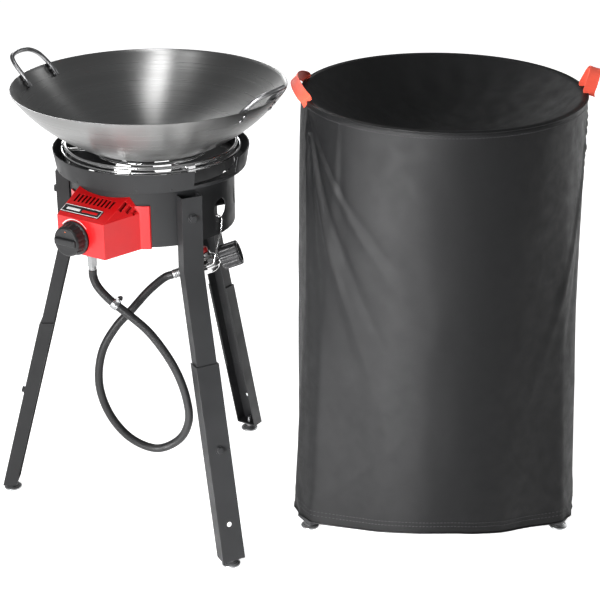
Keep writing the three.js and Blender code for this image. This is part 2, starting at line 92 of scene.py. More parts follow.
class Surface:
    """A Principled material, with the nodes that vary it over the piece."""

    def __init__(self, name, color, roughness, metallic=0.0, **constants):
        self.material = bpy.data.materials.new(name)
        self.material.use_nodes = True
        self.tree = self.material.node_tree
        self.shader = self.tree.nodes["Principled BSDF"]
        self.color = color
        self.set("Base Color", (*color, 1))
        self.set("Roughness", roughness)
        self.set("Metallic", metallic)
        for socket, value in constants.items():
            self.set(socket.replace("_", " "), value)
        self.place = self.node("ShaderNodeTexCoord").outputs["Object"]

    def set(self, socket, value):
        self.shader.inputs[socket].default_value = value

    def node(self, kind, links=(), values=(), **settings):
        """A node with its settings, socket values by name or number, and links into it."""
        made = self.tree.nodes.new(kind)
        for key, value in settings.items():
            setattr(made, key, value)
        for key, value in dict(values).items():
            made.inputs[key].default_value = value
        for key, output in dict(links).items():
            self.tree.links.new(output, made.inputs[key])
        return made

    def math(self, operation, first, second=0.0):
        made = self.node("ShaderNodeMath", operation=operation)
        for number, value in enumerate((first, second)):
            if isinstance(value, (int, float)):
                made.inputs[number].default_value = value
            else:
                self.tree.links.new(value, made.inputs[number])
        return made.outputs[0]

    def noise(self, size, detail, stretch=(1, 1, 1), place=None):
        """Noise with features of about this size in metres, drawn out along the stretched axes."""
        mapping = self.node("ShaderNodeMapping", {"Vector": place or self.place})
        mapping.inputs["Scale"].default_value = [1 / (size * s) for s in stretch]
        values = {"Scale": 1.0, "Detail": detail}
        return self.node("ShaderNodeTexNoise", {"Vector": mapping.outputs[0]}, values).outputs[0]

    def between(self, value, low, high, start=0.3, end=0.7):
        """The value from start to end, turned into a number from low to high."""
        values = {"From Min": start, "From Max": end, "To Min": low, "To Max": high}
        return self.node("ShaderNodeMapRange", {"Value": value}, values).outputs[0]

    def weave(self):
        """The coordinates that a piece carries for its threads: whole, and as separate numbers."""
        whole = self.node("ShaderNodeAttribute", attribute_name="weave").outputs["Vector"]
        return whole, self.node("ShaderNodeSeparateXYZ", {0: whole}).outputs

    def waves(self, parts, pitch):
        return [self.math("SINE", self.math("MULTIPLY", part, TURN / pitch)) for part in parts]

    def roughness(self, value, low, high):
        self.tree.links.new(self.between(value, low, high), self.shader.inputs["Roughness"])

    def tint(self, mask, other):
        """Blends the colour so far with another one where the mask is 1."""
        colors = {MIX_A: (*self.color, 1), MIX_B: (*other, 1)}
        made = self.node("ShaderNodeMix", {0: mask}, colors, data_type="RGBA")
        feeding = self.shader.inputs["Base Color"].links
        if feeding:
            self.tree.links.new(feeding[0].from_socket, made.inputs[MIX_A])
        self.tree.links.new(made.outputs[MIX_RESULT], self.shader.inputs["Base Color"])

    def bump(self, height, distance, strength):
        values = {"Distance": distance, "Strength": strength}
        made = self.node("ShaderNodeBump", {"Height": height}, values)
        feeding = self.shader.inputs["Normal"].links
        if feeding:
            self.tree.links.new(feeding[0].from_socket, made.inputs["Normal"])
        self.tree.links.new(made.outputs[0], self.shader.inputs["Normal"])

    def mottle(self, size, detail, most, color, start=0.3, end=0.7):
        """Patches of another colour, where noise lies between the start and the end."""
        patches = self.between(self.noise(size, detail), 0.0, most, start, end)
        self.tint(patches, color)

    def grain(self, size, detail, distance, strength):
        self.bump(self.noise(size, detail), distance, strength)

    def worn_edges(self, width, color, threshold):
        """Bare or rubbed colour along the edges, broken up by noise."""
        rounded = self.node("ShaderNodeBevel", values={"Radius": width}, samples=4).outputs[0]
        true = self.node("ShaderNodeNewGeometry").outputs["Normal"]
        turned = self.node("ShaderNodeVectorMath", {0: rounded, 1: true}, operation="DOT_PRODUCT")
        edge = self.between(turned.outputs["Value"], 1.0, 0.0, 0.80, 0.97)
        patchy = self.between(self.noise(0.012, 4), 0.0, 1.0, threshold, threshold + 0.15)
        self.tint(self.math("MULTIPLY", edge, patchy), color)


def black_paint():
    surface = Surface("black_powder_coat", (0.016, 0.0163, 0.0172), 0.45, Specular_IOR_Level=0.34)
    surface.roughness(surface.noise(0.03, 4), 0.36, 0.54)
    surface.mottle(0.07, 5, 0.5, (0.029, 0.0295, 0.031))
    surface.worn_edges(0.0012, (0.09, 0.09, 0.093), 0.52)
    surface.grain(0.0011, 2, 0.00012, 0.5)
    return surface.material


def cast_iron():
    surface = Surface("cast_iron", (0.022, 0.021, 0.020), 0.75, 0.3)
    surface.mottle(0.02, 5, 0.8, (0.05, 0.04, 0.034))
    surface.grain(0.0018, 5, 0.0006, 0.8)
    return surface.material


def spun_steel(name, axis):
    """Steel spun on a lathe about an upright axis: fine rings, and highlights across them."""
    surface = Surface(
        name, (0.315, 0.315, 0.313), 0.3, 1.0, Anisotropic=0.85, Anisotropic_Rotation=0.25,
    )
    tangent = surface.node("ShaderNodeTangent", direction_type="RADIAL", axis="Z").outputs[0]
    surface.tree.links.new(tangent, surface.shader.inputs["Tangent"])

    def vector(operation, first, values=()):
        return surface.node("ShaderNodeVectorMath", {0: first}, values, operation=operation).outputs

    level = vector("MULTIPLY", vector("SUBTRACT", surface.place, {1: axis})[0], {1: (1, 1, 0)})[0]
    radius = vector("LENGTH", level)["Value"]

    def ring_noise(per_metre, detail):
        return surface.node(
            "ShaderNodeTexNoise", {"W": surface.math("MULTIPLY", radius, per_metre)},
            {"Scale": 1.0, "Detail": detail}, noise_dimensions="1D",
        ).outputs[0]

    rings = ring_noise(900, 4.0)
    surface.roughness(rings, 0.27, 0.40)
    surface.tint(surface.between(ring_noise(70, 2.0), 0.0, 0.35), (0.25, 0.25, 0.248))
    surface.mottle(0.09, 4, 0.30, (0.265, 0.26, 0.25), 0.45, 0.75)
    surface.bump(rings, 0.00003, 0.35)
    return surface.material


def plated(name, color, roughness):
    surface = Surface(name, color, roughness, 1.0)
    surface.roughness(surface.noise(0.01, 4), roughness * 0.7, roughness * 1.5)
    surface.mottle(0.02, 4, 0.4, tuple(0.7 * part for part in color), 0.5, 0.8)
    surface.grain(0.002, 3, 0.00004, 0.5)
    return surface.material


def red_enamel():
    """Glossy red, chipped pale at its edges, with painted shade that darkens it to near black
    inside narrow gaps.
    """
    surface = Surface(
        "red_enamel", (0.74, 0.0065, 0.009), 0.33, Coat_Weight=0.35, Coat_Roughness=0.12,
    )
    surface.roughness(surface.noise(0.02, 3), 0.28, 0.42)
    surface.mottle(0.05, 4, 0.35, (0.62, 0.005, 0.007))
    surface.worn_edges(0.0010, (0.90, 0.10, 0.09), 0.40)
    # painted shade: ambient occlusion tints the red near black inside the box's slots and narrow
    # gaps, where shade falls
    open_sky = surface.node("ShaderNodeAmbientOcclusion", values={"Distance": 0.012}, samples=6)
    painted_gap_shade = surface.between(open_sky.outputs["AO"], 1.0, 0.0, 0.30, 0.55)
    surface.tint(painted_gap_shade, (0.035, 0.0015, 0.0015))
    surface.grain(0.0022, 2, 0.00006, 0.4)
    return surface.material


def moulded(name, color, roughness, grain=0.0006):
    surface = Surface(name, color, roughness)
    surface.roughness(surface.noise(0.008, 3), roughness - 0.08, roughness + 0.1)
    paler = tuple(1.6 * part for part in color)
    surface.mottle(0.015, 4, 0.5, paler)
    surface.grain(grain, 2, 0.00008, 0.6)
    return surface.material


def hose_rubber():
    """Smooth black hose with the faint helix of the braid under its skin."""
    surface = Surface("hose_rubber", (0.013, 0.013, 0.014), 0.42)
    surface.roughness(surface.noise(0.01, 4), 0.34, 0.55)
    surface.mottle(0.03, 4, 0.5, (0.026, 0.026, 0.027))
    along, around = surface.weave()[1][:2]
    slant = surface.math("MULTIPLY", around, 1.4)
    strands = [surface.math(way, along, slant) for way in ("ADD", "SUBTRACT")]
    surface.bump(surface.math("ADD", *surface.waves(strands, 0.0032)), 0.00005, 0.35)
    return surface.material


def woven(name, color, dark, roughness, pitch, depth, **constants):
    """A cloth whose threads follow the piece's own weave coordinates."""
    surface = Surface(name, color, roughness, **constants)
    weave, parts = surface.weave()
    threads = surface.math("MULTIPLY", *surface.waves(parts[:2], pitch))
    streaks = surface.noise(0.004, 4, (0.35, 6, 1), weave)
    surface.tint(surface.between(threads, 0.45, 0.0, -1.0, 0.4), dark)
    surface.tint(surface.between(streaks, 0.0, 0.35), tuple(1.25 * part for part in color))
    surface.roughness(surface.noise(0.02, 4), roughness - 0.06, roughness + 0.08)
    surface.bump(threads, depth, 0.6)
    surface.bump(streaks, depth, 0.4)
    return surface


def cover_cloth():
    surface = woven(
        "coated_polyester", (0.0024, 0.0025, 0.0028), (0.0017, 0.0018, 0.0020), 0.54, 0.0011,
        0.00010, Specular_IOR_Level=0.22,
    )
    surface.bump(surface.noise(0.011, 5, (1, 1, 1.6)), 0.0007, 0.35)
    surface.mottle(0.16, 5, 0.4, (0.0040, 0.0041, 0.0045))
    return surface.material


def orange_webbing():
    return woven(
        "orange_webbing", (0.66, 0.062, 0.026), (0.42, 0.030, 0.012), 0.72, 0.0018, 0.00025,
        Sheen_Weight=0.25, Sheen_Roughness=0.5,
    ).material


# ---- geometry: every helper gives points and faces, and a Piece gathers them ----

def grid(rows, closed_rows=False):
    """Quads between rings of points. The last ring joins the first, or flat caps close both."""
    points = np.asarray(rows, float)
    count, around = points.shape[:2]
    index = np.arange(count * around).reshape(count, around)
    faces = []
    for row in range(count if closed_rows else count - 1):
        here, there = index[row], index[(row + 1) % count]
        for k in range(around):
            after = (k + 1) % around
            faces.append((here[k], here[after], there[after], there[k]))
    if not closed_rows:
        faces.append(tuple(index[0][::-1]))
        faces.append(tuple(index[-1]))
    return points.reshape(-1, 3), faces


def revolve(profile, segments, closed=False):
    """A profile of (radius, height) turned about Z. It runs upwards on the outside."""
    angles = np.arange(segments) * TURN / segments
    rows = [[(r * cos(a), r * sin(a), z) for a in angles] for r, z in profile]
    return grid(rows, closed_rows=closed)


def rounded_profile(corners, radius, steps=4):
    """The corners of a profile with each one but the ends turned into a short curve."""
    made = [corners[0]]
    for before, corner, after in zip(corners, corners[1:], corners[2:]):
        here = Vector(corner)
        back, onward = Vector(before) - here, Vector(after) - here
        reach = min(radius, back.length / 2.1, onward.length / 2.1)
        start = here + back.normalized() * reach
        end = here + onward.normalized() * reach
        for step in range(steps + 1):
            share = step / steps
            bow = 2 * share * (1 - share) * here
            made.append(tuple((1 - share) ** 2 * start + bow + share**2 * end))
    made.append(corners[-1])
    return made


AXIS = 0.0001  # a solid profile starts and ends this near the axis


def disc(corners, radius=0.0006, segments=48):
    """A solid of revolution whose profile starts and ends near the axis."""
    return revolve(rounded_profile(corners, radius), segments)


def directions(path):
    """The unit direction of a path at each of its points."""
    tangents = np.gradient(path, axis=0)
    return tangents / np.linalg.norm(tangents, axis=1)[:, None]


def distances(path):
    """How far along a path each of its points lies."""
    return np.concatenate([[0], np.cumsum(np.linalg.norm(np.diff(path, axis=0), axis=1))])


def path_frames(path):
    """Two directions across a path at each point, carried along it without twisting."""
    tangents = directions(path)
    across = np.cross(tangents[0], (0.31, 0.17, 0.94))  # any direction that no path starts along
    sides = []
    for tangent in tangents:
        across = across - tangent * (across @ tangent)
        across /= np.linalg.norm(across)
        sides.append((across.copy(), np.cross(tangent, across)))
    return sides


def tube(path, radius, sides, taper=None):
    """A round bar along a path; taper scales its radius at each share of the path's points."""
    path = np.asarray(path, float)
    angles = np.arange(sides) * TURN / sides
    rows = []
    for number, (point, (u, v)) in enumerate(zip(path, path_frames(path))):
        size = radius * (taper(number / (len(path) - 1)) if taper else 1)
        rows.append([point + size * (cos(a) * u + sin(a) * v) for a in angles])
    return grid(rows)


def ring(radius, wire, height, segments=128, sides=12):
    """A hoop of round wire, level, about Z."""
    section = [TURN * k / sides for k in range(sides)]
    profile = [(radius + wire * cos(a), height + wire * sin(a)) for a in section]
    return revolve(profile, segments, closed=True)


def smooth_path(points, steps=12):
    """The centripetal Catmull-Rom curve through the points."""
    points = [np.array(point, float) for point in points]
    points = [2 * points[0] - points[1], *points, 2 * points[-1] - points[-2]]
    made = []
    for before, start, end, after in zip(points, points[1:], points[2:], points[3:]):
        gaps = (start - before, end - start, after - end)
        first, span, last = (sqrt(np.linalg.norm(gap)) for gap in gaps)
        leave = (gaps[0] / first - (end - before) / (first + span) + gaps[1] / span) * span
        arrive = (gaps[1] / span - (after - start) / (span + last) + gaps[2] / last) * span
        for step in range(steps):
            t = step / steps
            bend = -3 * start + 3 * end - 2 * leave - arrive
            twist = 2 * start - 2 * end + leave + arrive
            made.append(start + leave * t + bend * t**2 + twist * t**3)
    made.append(points[-2])
    return np.array(made)


def block(size, bevel, segments=2):
    """A box centred on the origin with rounded edges."""
    shape = bmesh.new()
    bmesh.ops.create_cube(shape, size=1)
    bmesh.ops.scale(shape, vec=size, verts=shape.verts)
    bmesh.ops.bevel(
        shape, geom=shape.edges[:], offset=min(bevel, min(size) * 0.45), segments=segments,
        profile=0.5, affect="EDGES",
    )
    points = np.array([vertex.co[:] for vertex in shape.verts])
    faces = [tuple(vertex.index for vertex in face.verts) for face in shape.faces]
    shape.free()
    return points, faces


def hex_head(radius, height):
    """A six-sided nut or bolt head with its top corners chamfered, standing on Z=0."""
    angles = np.arange(6) * TURN / 6
    rows = []
    for share, z in ((1.0, 0), (1.0, height * 0.82), (0.88, height)):
        size = radius * share
        rows.append([(size * cos(a), size * sin(a), z) for a in angles])
    return grid(rows)


def fluted(outline, sides, relief):
    """Rings about Z whose radius is raised by the relief at each radius, height and angle."""
    rows = []
    for radius, height in outline:
        row = []
        for k in range(sides):
            angle = TURN * k / sides
            size = radius + relief(radius, height, angle)
            row.append((size * cos(angle), size * sin(angle), height))
        rows.append(row)
    return rows


def move(*offset):
    return Matrix.Translation(Vector(offset))


def turn(degrees, axis="Z"):
    return Matrix.Rotation(radians(degrees), 4, axis)


def facing(spot, direction):
    """A place at the spot whose Z runs along the direction."""
    return move(*spot) @ direction.to_track_quat("Z", "Y").to_matrix().to_4x4()


ALONG_X = turn(90, "Y")  # stands a Z-up shape along +X


class Piece:
    """Shapes gathered into one object, each at its place and with the number of its material."""

    def __init__(self):
        self.points, self.faces, self.finishes, self.size = [], [], [], 0

    def add(self, shape, place=Matrix(), finish=0):
        points, faces = shape
        matrix = np.array(place)
        self.points.append(points @ matrix[:3, :3].T + matrix[:3, 3])
        self.faces += [tuple(int(k) + self.size for k in face) for face in faces]
        self.finishes += [finish] * len(faces)
        self.size += len(points)
        return self

    def build(self, name, body, materials, stands_for=(), slot=None, sharp=38, weave=None):
        mesh = bpy.data.meshes.new(name)
        mesh.from_pydata(np.concatenate(self.points).tolist(), [], self.faces)
        for material in materials:
            mesh.materials.append(material)
        mesh.polygons.foreach_set("material_index", self.finishes)
        tidy = bmesh.new()
        tidy.from_mesh(mesh)
        bmesh.ops.recalc_face_normals(tidy, faces=tidy.faces)
        tidy.to_mesh(mesh)
        tidy.free()
        mesh.shade_smooth()
        mesh.set_sharp_from_angle(angle=radians(sharp))
        if weave is not None:
            layer = mesh.attributes.new("weave", "FLOAT_VECTOR", "POINT")
            layer.data.foreach_set("vector", np.asarray(weave, np.float32).ravel())
        made = bpy.data.objects.new(name, mesh)
        bpy.context.scene.collection.objects.link(made)
        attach(made, body)
        if stands_for:
            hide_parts(*stands_for)
        return made


# ---- hose and what is on it ----

HOSE_RADIUS = 0.007
HOSE_ROUTE = [  # from the open cooker's axis, as on the CAD solid
    (-0.0897, -0.1397, 0.494), (-0.0897, -0.1397, 0.484), (-0.084, -0.143, 0.468),
    (-0.065, -0.150, 0.447), (-0.029, -0.158, 0.419), (0.002, -0.161, 0.389),
    (0.040, -0.161, 0.326), (0.058, -0.160, 0.268), (0.060, -0.157, 0.224),
    (0.043, -0.151, 0.187), (0.005, -0.145, 0.166), (-0.037, -0.140, 0.180),
    (-0.073, -0.135, 0.222), (-0.091, -0.129, 0.279), (-0.084, -0.122, 0.338),
    (-0.060, -0.114, 0.380), (-0.034, -0.106, 0.407), (-0.004, -0.094, 0.438),
    (0.0237, -0.082, 0.4574), (0.035, -0.082, 0.4615),
]
CLAMP_SHARE = 0.084  # how far along the hose the clamp sits
REGULATOR_PLACE = OPEN_PLACE @ move(0.094, -0.082, 0.483) @ turn(-20, "Y")


def on_regulator(x):
    """A place whose Z runs along the regulator's own axis, x past its middle."""
    return REGULATOR_PLACE @ move(x, 0, 0) @ ALONG_X


def hose_clamp(path, materials):
    """A worm-drive band round the hose, with its slotted screw."""
    reach = distances(path)
    spot = int(np.searchsorted(reach, CLAMP_SHARE * reach[-1]))
    place = facing(path[spot], Vector(path[spot + 1] - path[spot - 1]))
    band = rounded_profile([
        (0.0076, -0.0055), (0.0086, -0.006), (0.0088, 0), (0.0086, 0.006), (0.0076, 0.0055),
    ], 0.0003)
    piece = Piece().add(revolve([*band, (0.0076, -0.005)], 40, closed=True), place)
    piece.add(block((0.009, 0.007, 0.009), 0.0012), place @ move(0, 0.0115, 0))
    screw = disc([(AXIS, -0.007), (0.0027, -0.007), (0.0027, 0.0065), (AXIS, 0.0065)])
    piece.add(screw, place @ move(0, 0.0118, 0) @ ALONG_X)
    piece.add(hex_head(0.0038, 0.003), place @ move(0.006, 0.0118, 0) @ ALONG_X)
    tooth = block((0.0012, 0.0005, 0.008), 0.0002)
    for angle in range(-150, 91, 30):
        piece.add(tooth, place @ turn(angle) @ move(0, 0.0089, 0))
    return piece.build("worm_clamp", "stand", materials, ["hose_clamp"], "zinc")


def ferrule(materials):
    """A crimped sleeve with four pressed grooves, and the swivel in front of it."""
    outline = [(AXIS, 0), (0.0066, 0), (0.0076, 0.0012)]
    for start in (0.003, 0.006, 0.009, 0.012):
        outline += [(0.0079, start), (0.0079, start + 0.0012)]
        outline += [(0.0070, start + 0.0018), (0.0070, start + 0.0024)]
    outline += [(0.0079, 0.0155), (0.0064, 0.0168), (0.0064, 0.0196), (AXIS, 0.0196)]
    piece = Piece().add(disc(outline, 0.0004), on_regulator(-0.062))
    return piece.build("crimped_ferrule", "stand", materials, ["hose_ferrule"], "zinc")


def regulator(chrome, zinc):
    """A two-part diaphragm housing clamped by screws, with its bonnet, outlet and inlet."""
    lower = [
        (AXIS, -0.015), (0.013, -0.015), (0.0165, -0.0125), (0.0195, -0.006), (0.0225, -0.0045),
        (0.0225, -0.0004), (AXIS, -0.0004),
    ]
    upper = [
        (AXIS, 0.0002), (0.0228, 0.0002), (0.0228, 0.0036), (0.0195, 0.005), (0.016, 0.0105),
        (0.0125, 0.0128), (0.0108, 0.0145), (0.0104, 0.0198), (AXIS, 0.0198),
    ]
    gasket = [(AXIS, -0.0012), (0.0205, -0.0012), (0.0205, 0.001), (AXIS, 0.001)]
    outlet = [(AXIS, 0), (0.0058, 0), (0.0064, 0.014), (AXIS, 0.014)]
    neck = [(AXIS, 0), (0.0082, 0), (0.0078, 0.006), (0.0076, 0.0084), (AXIS, 0.0084)]
    inlet = [
        (AXIS, 0.022), (0.005, 0.022), (0.005, 0.043), (0.0042, 0.045), (0.0042, 0.048),
        (0.005, 0.0495), (0.0046, 0.053), (0.0036, 0.055), (AXIS, 0.055),
    ]
    piece = Piece()
    for shape in (disc(lower, 0.0012, 64), disc(upper, 0.0012, 64), disc(gasket)):
        piece.add(shape, REGULATOR_PLACE)
    for angle in range(30, 360, 60):
        spot = REGULATOR_PLACE @ turn(angle) @ move(0.0205, 0, 0.0034)
        piece.add(hex_head(0.0021, 0.0016), spot, 1)
    piece.add(hex_head(0.007, 0.011), on_regulator(-0.042), 1)
    piece.add(disc(outlet), on_regulator(-0.032)).add(disc(neck, 0.0008), on_regulator(0.0150))
    piece.add(disc(inlet, 0.0004), on_regulator(0), 1)
    return piece.build("regulator_housing", "stand", [chrome, zinc], ["regulator_body"], "chrome")


def regulator_cap(red):
    """A domed vent cap with a knurled edge."""
    outline = [
        (AXIS, 0.0203), (0.0088, 0.0203), (0.0088, 0.0262), (0.0074, 0.0284), (0.004, 0.0290),
        (AXIS, 0.0290),
    ]
    piece = Piece().add(disc(outline, 0.0012), REGULATOR_PLACE)
    ridge = block((0.0006, 0.0009, 0.005), 0.0002)
    for angle in range(0, 360, 15):
        piece.add(ridge, REGULATOR_PLACE @ turn(angle) @ move(0.0087, 0, 0.0233))
    return piece.build("vent_cap", "stand", [red], ["regulator_cap"], "red_paint")


def tank_nut(plastic, zinc):
    """A moulded hand nut with finger ribs round it and a thread ring inside its mouth."""
    ribs, rib_height = 10, 0.0021
    outline = rounded_profile([
        (0.0060, 0.0003), (0.0182, 0.0003), (0.0195, 0.003), (0.0195, 0.031), (0.0186, 0.0338),
        (0.0150, 0.0338),
    ], 0.0014, 5)
    mouth = [(0.0148, 0.0330), (0.0146, 0.0135), (0.0060, 0.0125)]

    def rib(radius, height, angle):
        grip = rib_height * max(0.0, min(1.0, (radius - 0.0178) / 0.0015))
        return grip * max(0.0, cos(ribs * angle)) ** 0.6

    place = on_regulator(0.024)
    piece = Piece().add(grid(fluted([*outline, *mouth], 160, rib), closed_rows=True), place)
    for step in range(5):
        piece.add(ring(0.01455, 0.0005, 0.0165 + 0.003 * step, 48, 6), place)
    piece.add(ring(0.0168, 0.0003, 0.0338, 64, 6), place, 1)
    return piece.build("hand_nut", "tank_nut", [plastic, zinc], ["tank_nut"], "black_plastic")


def add_hose(finishes):
    path = smooth_path(HOSE_ROUTE) + np.array(OPEN_AXIS)
    sides = 20
    weave = [(x, HOSE_RADIUS * TURN * k / sides, 0) for x in distances(path) for k in range(sides)]
    hose = Piece().add(tube(path, HOSE_RADIUS, sides)).build(
        "rubber_hose", "stand", [finishes["hose_rubber"]], ["gas_hose"], "hose_rubber", weave=weave)
    zinc, chrome = finishes["zinc"], finishes["chrome"]
    on_hose = [
        hose_clamp(path, [zinc]),
        ferrule([zinc]),
        regulator(chrome, zinc),
        regulator_cap(finishes["red_paint"]),
        tank_nut(finishes["black_plastic"], zinc),
    ]


# ---- wok ----

BOWL_RADIUS = 0.2777  # of the sphere that the wok's outside follows
WOK_WALL = 0.002
HANDLE_HALF = 0.041  # from a handle's middle to each of its ends


def sphere_centre(rim_height, rim_radius):
    """The height of the centre of the sphere that the wok's outside follows."""
    return rim_height + sqrt(BOWL_RADIUS**2 - rim_radius**2)


def bowl_profile(low, high, rim_radius, steps=40):
    """Up the outside from the flat base, over the rolled lip and down the inside."""
    centre = sphere_centre(high, rim_radius)

    def arc(radius, base):
        first, last = (acos((centre - height) / radius) for height in (base, high))
        for step in range(steps + 1):
            angle = first + (last - first) * step / steps
            yield radius * sin(angle), centre - radius * cos(angle)

    outside = list(arc(BOWL_RADIUS, low))
    inside = list(arc(BOWL_RADIUS - WOK_WALL, low + WOK_WALL))
    lip = ((0.0002, 0.0003), (0.0012, 0.0007), (0.0022, 0.0003))
    edge = [(rim_radius - back, high + rise) for back, rise in lip]
    return [(0.0005, low), *outside[:-1], *edge, *inside[:-1][::-1], (0.0005, low + WOK_WALL)]


def add_wok(node, name, body, material):
    low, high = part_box(node)
    centre = (low + high) / 2
    profile = bowl_profile(low.z, high.z, (high.x - low.x) / 2)
    piece = Piece().add(revolve(profile, 192), move(centre.x, centre.y, 0))
    piece.build(name, body, [material], [node], "wok_steel", sharp=60)


def handle(place, rim_height, bowl_centre):
    """A rod bail that tapers to its ends, riveted inside the wall; +X of its place is outwards."""
    def on_wall(height, y, offset):
        radius = BOWL_RADIUS - WOK_WALL - offset
        return Vector((sqrt(radius**2 - (bowl_centre - height) ** 2 - y**2), y, height))

    half = [
        on_wall(rim_height - 0.018, -HANDLE_HALF, 0.0040),
        on_wall(rim_height - 0.007, -HANDLE_HALF, 0.0055),
        (0.222, -0.040, 0.772), (0.236, -0.036, 0.785), (0.2465, -0.025, 0.792),
    ]
    mirrored = [(x, -y, z) for x, y, z in half][::-1]
    path = smooth_path([*half, (0.251, 0, 0.794), *mirrored], 10)
    rod = tube(path, 0.0038, 16, lambda share: 0.8 + 0.2 * min(1, 12 * min(share, 1 - share)))
    piece = Piece().add(rod, place)
    head = disc([
        (AXIS, 0), (0.0040, 0), (0.0039, 0.0022), (0.0031, 0.0042), (0.0016, 0.0051),
        (AXIS, 0.0053),
    ], 0.0005, 28)
    tail = disc([(AXIS, 0), (0.0043, 0), (0.0040, 0.0014), (AXIS, 0.0020)], 0.0005, 24)
    for side in (-HANDLE_HALF, HANDLE_HALF):
        for height in (rim_height - 0.0165, rim_height - 0.0075):
            spot = on_wall(height, side, 0.0012)
            at = place @ facing(spot, Vector((-spot.x, -spot.y, bowl_centre - spot.z)))
            piece.add(head, at).add(tail, at @ move(0, 0, -0.0034) @ turn(180, "X"))
    return piece


def add_handles(steel):
    low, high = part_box("wok")
    bowl_centre = sphere_centre(high.z, (high.x - low.x) / 2)
    for side, angle in (("left", 156), ("right", -32)):
        place = OPEN_PLACE @ turn(angle)
        piece = handle(place, high.z, bowl_centre)
        piece.build(f"rod_handle_{side}", "wok", [steel], [f"wok_handle_{side}"], "wok_steel")


# ---- pot ring, hook and burner details ----

WIRE = 0.0028  # the pot ring's wire, by its radius
HOOP = 0.142  # radius of its upper hoop
SEAT = 0.095  # radius of the inner hoop that the wok sits on
SEATED_CENTRE = 0.9237  # height of the open wok's sphere centre
POST_FOOT = 0.6343  # height of the open drum's flange
COVERED_DROP = 0.014  # the covered cooker stands this much lower


def add_pot_ring(node, name, place, drop, chrome):
    """Two hoops round the drum's mouth, the inner one under the wok, and spokes, posts and tabs."""
    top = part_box(node)[1].z - WIRE
    reach = BOWL_RADIUS + WIRE + 0.0003
    seat_height = SEATED_CENTRE - drop - sqrt(reach**2 - SEAT**2)
    piece = Piece()
    for radius, wire, height in (
        (HOOP, WIRE, top), (HOOP + 0.006, 0.0022, top - 0.0065), (SEAT, WIRE, seat_height),
    ):
        piece.add(ring(radius, wire, height), place)
    spoke = smooth_path([
        (SEAT - 0.004, 0, seat_height - 0.005), (0.115, 0, seat_height - 0.0055),
        (HOOP + 0.004, 0, seat_height - 0.005),
    ])
    post = [(HOOP + 0.0035, 0, z) for z in np.linspace(POST_FOOT - drop, top, 6)]
    tab = block((0.0055, 0.018, 0.0145), 0.0012, 3)
    weld = disc([(AXIS, 0), (0.0022, 0), (0.0018, 0.0009), (AXIS, 0.0012)], 0.0003, 20)
    for angle in (-60, 60, 180):
        at = place @ turn(angle)
        piece.add(tube(spoke, WIRE, 14), at).add(tube(post, WIRE, 14), at)
        piece.add(tab, at @ move(HOOP + 0.004, 0, top - 0.0062))
        for side in (-0.005, 0.005):
            piece.add(weld, at @ move(HOOP + 0.0066, side, top - 0.006) @ ALONG_X)
    piece.build(name, "stand", [chrome], [node], "chrome")


def add_hook(chrome):
    """The wire that hangs the regulator from the drum's edge."""
    route = [
        (0.129, 0, 0.557), (0.131, 0, 0.5625), (0.136, 0, 0.5638), (0.141, 0, 0.561),
        (0.142, -0.001, 0.550), (0.143, -0.009, 0.530), (0.146, -0.024, 0.508),
        (0.1447, -0.030, 0.489),
    ]
    place = OPEN_PLACE @ turn(-33)
    piece = Piece().add(tube(smooth_path(route), 0.0013, 12), place)
    piece.build("wire_hook", "stand", [chrome], ["regulator_hook"], "chrome")


def add_collar_rivets(paint):
    """Small domed rivets that hold the wind collar to the drum's flange."""
    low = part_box("wind_collar")[0].z
    rivet = disc([(AXIS, 0), (0.0021, 0), (0.0017, 0.0008), (AXIS, 0.0012)], 0.0003, 20)
    piece = Piece()
    for angle in range(6, 360, 20):
        at = OPEN_PLACE @ turn(angle) @ move(0.1586, 0, low + 0.0045) @ ALONG_X
        piece.add(rivet, at)
    piece.build("collar_rivets", "stand", [paint], slot="black_paint")


# ---- control box ----

BOX_PLACE = OPEN_PLACE @ Matrix.Rotation(BOX_ANGLE, 4, "Z")
LID_LEAN = degrees(atan2(0.033, 0.075))  # the box's sloping top falls and runs this much
KNOB_Y, KNOB_HEIGHT = -0.012, 0.557
KNOB_FACE, DIAL_FACE = 0.194, 0.1931  # how far out the knob and the print round it start


def add_badge(plastic, white, red):
    """A blank plate: black, with a pale frame, and one pale and one red bar."""
    place = BOX_PLACE @ move(0.177, -0.008, 0.5976) @ turn(LID_LEAN, "Y")
    piece = Piece().add(block((0.0165, 0.0755, 0.0014), 0.0005), place @ move(0, 0, 0.0007))
    marks = [
        ((0.0009, 0.0755, 0.0007), -0.0076, 0, 1), ((0.0160, 0.0009, 0.0007), 0, -0.0372, 1),
        ((0.0009, 0.0755, 0.0007), 0.0076, 0, 1), ((0.0160, 0.0009, 0.0007), 0, 0.0372, 1),
        ((0.0050, 0.027, 0.0006), 0.0004, -0.0165, 1), ((0.0050, 0.031, 0.0006), 0.0004, 0.0165, 2),
    ]
    for size, x, y, finish in marks:
        piece.add(block(size, 0.0002), place @ move(x, y, 0.0015), finish)
    piece.build("blank_badge", "stand", [plastic, white, red], ["box_badge"], "black_plastic")


